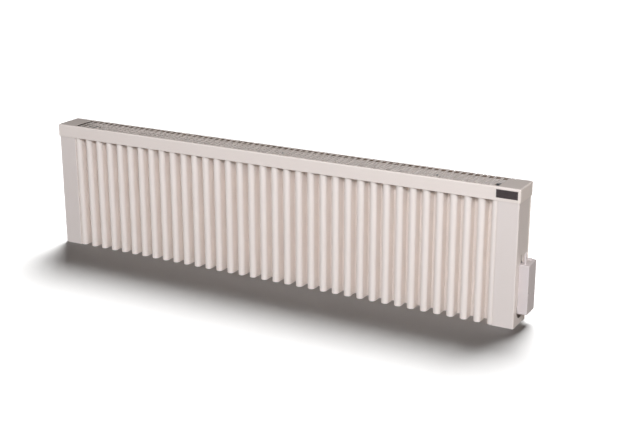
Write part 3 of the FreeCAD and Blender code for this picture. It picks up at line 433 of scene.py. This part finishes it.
@dataclass(frozen=True)
class ScrewHead:
    """A pan head with a driver recess and a plain shank. Sizes are in millimetres.

    Blade is the width of the recess, reach is half its length, and shank is the radius of the shank.
    """

    radius: float
    height: float
    recess: Recess
    blade: float
    reach: float
    depth: float
    shank: float
    length: float

    # The top starts as a grid of this many cells each way, whose middle row and column hold the recess
    CELLS: ClassVar[int] = 5
    # A face whose normal rises more than this is level
    LEVEL: ClassVar[float] = 0.5
    # Share of the radius that is flat, then the share of the radius and height of each ring of the dome
    FLAT: ClassVar[float] = 0.52
    DOME: ClassVar[tuple[tuple[float, float], ...]] = ((0.80, 0.94), (0.94, 0.70), (1.0, 0.36), (1.0, 0.0))
    # How far a screw happens to be turned beyond the one before it, in degrees
    NEXT_TURN: ClassVar[float] = 37.0

    def build(self) -> bmesh.types.BMesh:
        """Make one screw that stands on the XY plane with its head up.

        Returns:
            The mesh.
        """
        mesh = bmesh.new()
        bmesh.ops.create_grid(mesh, x_segments=self.CELLS, y_segments=self.CELLS, size=1.0)
        # Where the grid's lines go, by how many half cells they lie from the middle
        lines = {1: self.blade / 2, 3: self.reach, self.CELLS: self.FLAT * self.radius}
        for vert in mesh.verts:
            x, y = (math.copysign(lines[round(abs(c) * self.CELLS)], c) for c in vert.co.xy)
            vert.co = Vector((x, y, self.height)) * MM
        bmesh.ops.extrude_face_region(mesh, geom=[face for face in mesh.faces if self.driven(face)])
        sunk = {vert for face in mesh.faces if self.driven(face) for vert in face.verts}
        bmesh.ops.translate(mesh, vec=(0.0, 0.0, -self.depth * MM), verts=list(sunk))
        rings = [(share * self.radius, rise * self.height) for share, rise in self.DOME]
        rings += [(self.shank, 0.0), (self.shank, -self.length)]
        rim = [edge for edge in mesh.edges if edge.is_boundary]
        for radius, height in rings:
            rim = self.ring(mesh, rim, radius, height)
        bmesh.ops.edgeloop_fill(mesh, edges=rim)
        return mesh

    def driven(self, face: bmesh.types.BMFace) -> bool:
        """Tell whether a level face lies in the recess."""
        x, y = (abs(c) / MM for c in face.calc_center_median().xy)
        level = abs(face.normal.z) > self.LEVEL
        along_x = y < self.blade / 2 and x < self.reach
        along_y = x < self.blade / 2 and y < self.reach
        return level and (along_x or (along_y and self.recess is Recess.CROSS))

    def ring(self, mesh: bmesh.types.BMesh, rim: list[bmesh.types.BMEdge], radius: float,
             height: float) -> list[bmesh.types.BMEdge]:
        """Draw the rim out to a new ring.

        Args:
            mesh: the screw.
            rim: the edges of the last ring.
            radius: the new ring's radius.
            height: the new ring's height.

        Returns:
            The edges of the new ring.
        """
        grown = bmesh.ops.extrude_edge_only(mesh, edges=rim)["geom"]
        for vert in grown:
            if isinstance(vert, bmesh.types.BMVert):
                flat = vert.co.xy.normalized() * radius * MM
                vert.co = (flat.x, flat.y, height * MM)
        return [edge for edge in grown if isinstance(edge, bmesh.types.BMEdge) and edge.is_boundary]

    def drive(self, node: str, way: Way) -> None:
        """Put such a screw in the place of each solid of a node.

        Args:
            node: the CAD node with the screws.
            way: where their heads point.
        """
        places = []
        for number, (low, high) in enumerate(solids_of(node)):
            spot = (low + high) / 2
            spot[way.value] = high[way.value] - self.height * MM
            spin = Matrix.Rotation(math.radians(self.NEXT_TURN * number), 4, "Z")
            places.append(Matrix.Translation(spot) @ way.turn() @ spin)
        mesh = self.build()
        repeat(mesh, places)
        add_piece(f"{node}_driven", mesh, (ZINC,), Body.CASING, ZINC_SLOT, node)


# Sheet-metal screw of the casing and of the receiver, and the clamp screw of a terminal
PAN_SCREW = ScrewHead(radius=4.0, height=2.2, recess=Recess.CROSS, blade=0.9, reach=1.7, depth=1.3,
                      shank=1.75, length=6.0)
CLAMP_SCREW = ScrewHead(radius=1.9, height=1.2, recess=Recess.SLOT, blade=0.5, reach=0.95, depth=0.6,
                        shank=1.2, length=1.8)


@dataclass
class Casing:
    """The folded steel casing, its screws and the plain plate. Sizes are in millimetres."""

    screw: ScrewHead = PAN_SCREW
    plate_bevel: float = 1.0

    def dress(self) -> None:
        """Coat the sheets, drive the screws and set the plain plate."""
        dress(POWDER_COAT, "front_panel", "base_plate")
        # The cap's coat is painted a touch darker and warmer as shade on its top
        dress(SHADED_CAP_COAT, "top_cover")
        # The back panel's coat has brown shade painted along its top edge
        dress(BACK_COAT_WITH_PAINTED_SHADE, "back_panel")
        # The end panels' coat is painted a shade darker as shade
        dress(SHADED_END_COAT, "right_end_panel", "left_end_panel")
        for node in ("side_screws", "base_screws", "cap_screws"):
            self.screw.drive(node, Way.REAR)
        self.plate()

    def plate(self) -> None:
        """Make the plain plate: a dark brushed face inside a bright bevel."""
        low, high = (Vector(corner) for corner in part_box("badge_plate"))
        mesh = bmesh.new()
        bmesh.ops.create_cube(mesh, size=1.0)
        bmesh.ops.scale(mesh, vec=high - low, verts=mesh.verts)
        bmesh.ops.translate(mesh, vec=(low + high) / 2, verts=mesh.verts)
        middle = (low.y + high.y) / 2
        front = [edge for edge in mesh.edges if all(vert.co.y < middle for vert in edge.verts)]
        bevel = bmesh.ops.bevel(mesh, geom=front, offset=self.plate_bevel * MM, affect="EDGES", segments=1,
                                profile=0.5, material=-1)
        for face in bevel["faces"]:
            face.material_index = 1
        add_piece("plain_plate", mesh, (BADGE, BRIGHT_EDGE), Body.CASING, "badge_metal", "badge_plate")


@dataclass
class Core:
    """The clay core with its carrier, rods and element. Sizes are in millimetres."""

    thread_pitch: float = 1.0
    thread_depth: float = 0.55
    thread_steps: int = 12
    nut_sides: int = 6
    nut_chamfer: float = 0.5

    def dress(self) -> None:
        """Give the core its clay, zinc, steel and ceramic."""
        dress(FIRECLAY, *(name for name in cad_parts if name.startswith("core_block")))
        dress(ZINC, "core_tray", "core_top_rail", "tray_supports", "core_end_plate_right",
              "core_end_plate_left")
        dress(SHEATH, "heating_element", "element_pins")
        dress(STEATITE, "element_bushes")
        self.rods()
        self.nuts()

    def rods(self) -> None:
        """Cut a thread along both tie rods."""
        solids = solids_of("tie_rods")
        low, high = solids[0]
        radius = (high.x - low.x) / 2 / MM
        length = (high.z - low.z) / MM
        root = radius - self.thread_depth
        profile = [(0.0, 0.0), (root, 0.0)]
        for turn in range(int(length / self.thread_pitch)):
            profile.append((radius, (turn + 0.5) * self.thread_pitch))
            profile.append((root, (turn + 1.0) * self.thread_pitch))
        profile += [(root, length), (0.0, length)]
        mesh = turned(profile, self.thread_steps)
        repeat(mesh, [Matrix.Translation(((a.x + b.x) / 2, (a.y + b.y) / 2, a.z)) for a, b in solids])
        add_piece("threaded_rods", mesh, (ZINC,), Body.CASING, ZINC_SLOT, "tie_rods")

    def nuts(self) -> None:
        """Chamfer the nuts on the tie rods."""
        solids = solids_of("tie_rod_nuts")
        low, high = solids[0]
        mesh = bmesh.new()
        bmesh.ops.create_circle(mesh, segments=self.nut_sides, radius=(high.x - low.x) / 2, cap_ends=True)
        bmesh.ops.rotate(mesh, verts=mesh.verts, matrix=Matrix.Rotation(math.radians(90.0), 3, "Z"))
        bmesh.ops.extrude_face_region(mesh, geom=mesh.faces[:])
        mesh.verts.ensure_lookup_table()
        bmesh.ops.translate(mesh, vec=(0.0, 0.0, high.z - low.z), verts=mesh.verts[self.nut_sides:])
        rims = [edge for edge in mesh.edges if abs(edge.verts[0].co.z - edge.verts[1].co.z) < MERGE * MM]
        bmesh.ops.bevel(mesh, geom=rims, offset=self.nut_chamfer * MM, affect="EDGES", segments=1,
                        profile=0.5, material=-1)
        repeat(mesh, [Matrix.Translation(((a.x + b.x) / 2, (a.y + b.y) / 2, a.z)) for a, b in solids])
        add_piece("chamfered_nuts", mesh, (ZINC,), Body.CASING, ZINC_SLOT, "tie_rod_nuts")


@dataclass
class Wiring:
    """The limiter, terminals and leads inside the right end."""

    def dress(self) -> None:
        """Give each lead its colour and each device its material."""
        dress(PHENOLIC, "overheat_limiter")
        dress(STEATITE, "terminal_block")
        dress(ZINC, "earth_stud")
        dress(BROWN_SLEEVE, "live_lead", "limiter_lead")
        dress(BLUE_SLEEVE, "neutral_lead")
        dress(EARTH_SLEEVE, "earth_lead")
        dress(WHITE_SHEATH, "receiver_cable")


@dataclass
class Receiver:
    """The radio receiver on the right end and its screws."""

    fixing: ScrewHead = PAN_SCREW
    clamp: ScrewHead = CLAMP_SCREW

    def dress(self) -> None:
        """Give the shells their plastic and the inner pieces their own materials."""
        dress(ABS, "receiver_cover", "terminal_lid", "receiver_base", "receiver_antenna", "pairing_button",
              "receiver_terminals")
        dress(RUBBER, "supply_grommet")
        dress(LAMINATE, "receiver_board")
        dress(CASE, "relay", "capacitor", "button_switch")
        self.fixing.drive("receiver_screws", Way.RIGHT)
        self.clamp.drive("terminal_screws", Way.RIGHT)


@dataclass(frozen=True)
class SoftBox:
    """One soft box: where it stands, what it faces, its sides in metres, its power and colour."""

    name: str
    place: tuple[float, float, float]
    aim: tuple[float, float, float]
    sides: tuple[float, float]
    power: float
    colour: str

    def build(self) -> bpy.types.Object:
        """Add the lamp to the scene.

        Returns:
            The lamp.
        """
        data = bpy.data.lights.new(self.name, "AREA")
        data.shape = "RECTANGLE"
        data.size, data.size_y = self.sides
        data.energy = self.power
        data.color = linear(self.colour)[:3]
        lamp = bpy.data.objects.new(self.name, data)
        lamp.location = self.place
        lamp.rotation_euler = (Vector(self.aim) - Vector(self.place)).to_track_quat("-Z", "Y").to_euler()
        bpy.context.scene.collection.objects.link(lamp)
        LOG.info("%s hung", self.name)
        return lamp


SOFT_BOXES = (
    SoftBox("key_box", (1.5, -2.6, 1.88), (0.1, 0.0, 0.15), (2.6, 0.7), 87.0, "F5F8FF"),
    SoftBox("low_box", (1.2, -3.0, 0.35), (0.1, 0.0, 0.15), (2.4, 0.5), 9.0, "F5F8FF"),
    SoftBox("left_box", (-1.6, -2.8, 1.6), (-0.2, 0.0, 0.15), (1.8, 1.8), 26.0, "F5F8FF"),
    SoftBox("side_box", (3.6, -0.4, 1.0), (0.3, 0.0, 0.15), (1.2, 1.2), 27.5, "FAF7F4"),
    SoftBox("left_end_box", (-3.4, 0.9, 0.7), (-0.6, 0.0, 0.15), (1.0, 1.0), 14.0, "F5F8FF"),
    SoftBox("rear_box", (0.0, 3.0, 0.16), (0.0, 0.0, 0.16), (1.2, 0.3), 50.0, "F5F8FF"),
)


@dataclass
class Studio:
    """Pale floor, white backdrop, soft light and the camera at the photograph's angle.

    Lengths are in metres, apart from the sensor's, which is in millimetres, and angles are in degrees.
    """

    eye: tuple[float, float, float] = (1.4791, -2.4940, 1.0925)
    azimuth: float = 28.636
    elevation: float = 17.552
    roll: float = -0.042
    focal_pixels: float = 1209.9
    sensor: float = 36.0
    clip_end: float = 120.0
    floor_size: float = 90.0
    wall_radius: float = 44.0
    wall_height: float = 30.0
    wall_segments: int = 96
    wall_glow: float = 1.0
    floor_light: float = 9.0
    floor_light_way: tuple[float, float, float] = (0.13, -0.60, -0.79)
    floor_light_spread: float = 35.0
    sky: float = 0.105
    sky_colour: str = "FFF2EA"

    def build(self) -> None:
        """Set the stage."""
        floor = self.floor()
        self.backdrop()
        self.light_object(floor)
        self.light_floor(floor)
        self.open_sky()
        self.camera()

    def stand(self, name: str, mesh: bmesh.types.BMesh, material: bpy.types.Material) -> bpy.types.Object:
        """Add a piece of the stage, which throws no light on the object.

        Args:
            name: the piece's name.
            mesh: its shape, which is used up.
            material: what it is made of.

        Returns:
            The new piece.
        """
        data = bpy.data.meshes.new(name)
        mesh.to_mesh(data)
        mesh.free()
        data.materials.append(material)
        piece = bpy.data.objects.new(name, data)
        piece.visible_diffuse = False
        piece.visible_glossy = False
        bpy.context.scene.collection.objects.link(piece)
        LOG.info("%s set", name)
        return piece

    def floor(self) -> bpy.types.Object:
        """Lay a wide pale floor under the object.

        Returns:
            The floor.
        """
        mesh = bmesh.new()
        bmesh.ops.create_grid(mesh, x_segments=1, y_segments=1, size=self.floor_size / 2)
        return self.stand("studio_floor", mesh, material_of(FLOOR))

    def backdrop(self) -> None:
        """Stand a plain white wall far round the floor, so that low views have no dark horizon."""
        mesh = bmesh.new()
        bmesh.ops.create_cone(mesh, cap_ends=False, segments=self.wall_segments, radius1=self.wall_radius,
                              radius2=self.wall_radius, depth=self.wall_height)
        bmesh.ops.translate(mesh, vec=(0.0, 0.0, self.wall_height / 2), verts=mesh.verts)
        material = bpy.data.materials.new("studio_backdrop")
        material.use_nodes = True
        tree = material.node_tree
        tree.nodes.clear()
        glow = add_node(tree, "ShaderNodeEmission", inputs={"Strength": self.wall_glow})
        add_node(tree, "ShaderNodeOutputMaterial", inputs={"Surface": glow.outputs["Emission"]})
        wall = self.stand("studio_backdrop", mesh, material)
        wall.visible_shadow = False

    def light_object(self, floor: bpy.types.Object) -> None:
        """Hang the soft boxes, which light everything but the floor.

        Args:
            floor: what they leave alone.
        """
        reached = bpy.data.collections.new("all_but_floor")
        reached.objects.link(floor)
        reached.collection_objects[0].light_linking.link_state = "EXCLUDE"
        for box in SOFT_BOXES:
            box.build().light_linking.receiver_collection = reached

    def light_floor(self, floor: bpy.types.Object) -> None:
        """Light the floor alone from behind, so that it is white and the shadow falls to the front.

        Args:
            floor: the only thing that this light reaches.
        """
        data = bpy.data.lights.new("floor_light", "SUN")
        data.energy = self.floor_light
        data.angle = math.radians(self.floor_light_spread)
        lamp = bpy.data.objects.new("floor_light", data)
        lamp.rotation_euler = Vector(self.floor_light_way).to_track_quat("-Z", "Y").to_euler()
        bpy.context.scene.collection.objects.link(lamp)
        reached = bpy.data.collections.new("floor_only")
        reached.objects.link(floor)
        lamp.light_linking.receiver_collection = reached

    def open_sky(self) -> None:
        """Fill the rest of the room with a little even light, and show colours as they are."""
        world = bpy.data.worlds.new("studio_sky")
        world.use_nodes = True
        world.node_tree.nodes.clear()
        sky = add_node(world.node_tree, "ShaderNodeBackground", inputs={
            "Color": linear(self.sky_colour), "Strength": self.sky})
        add_node(world.node_tree, "ShaderNodeOutputWorld", inputs={"Surface": sky.outputs["Background"]})
        bpy.context.scene.world = world
        bpy.context.scene.view_settings.view_transform = "Standard"

    def camera(self) -> None:
        """Stand the camera where the photograph was taken from."""
        data = bpy.data.cameras.new("photo_camera")
        data.sensor_width = self.sensor
        data.lens = self.focal_pixels * self.sensor / IMAGE_WIDTH
        data.clip_end = self.clip_end
        camera = bpy.data.objects.new("photo_camera", data)
        turn = Euler((math.radians(90.0 - self.elevation), 0.0, math.radians(self.azimuth))).to_matrix()
        turn = turn @ Matrix.Rotation(math.radians(self.roll), 3, "Z")
        camera.matrix_world = Matrix.Translation(self.eye) @ turn.to_4x4()
        bpy.context.scene.collection.objects.link(camera)
        bpy.context.scene.camera = camera


def main() -> None:
    """Dress each sub-assembly in turn, then set the stage."""
    logging.basicConfig(level=logging.INFO, format="%(name)s: %(message)s")
    for assembly in (Casing(), Core(), Wiring(), Receiver()):
        assembly.dress()
    Studio().build()


if __name__ == "__main__":
    main()
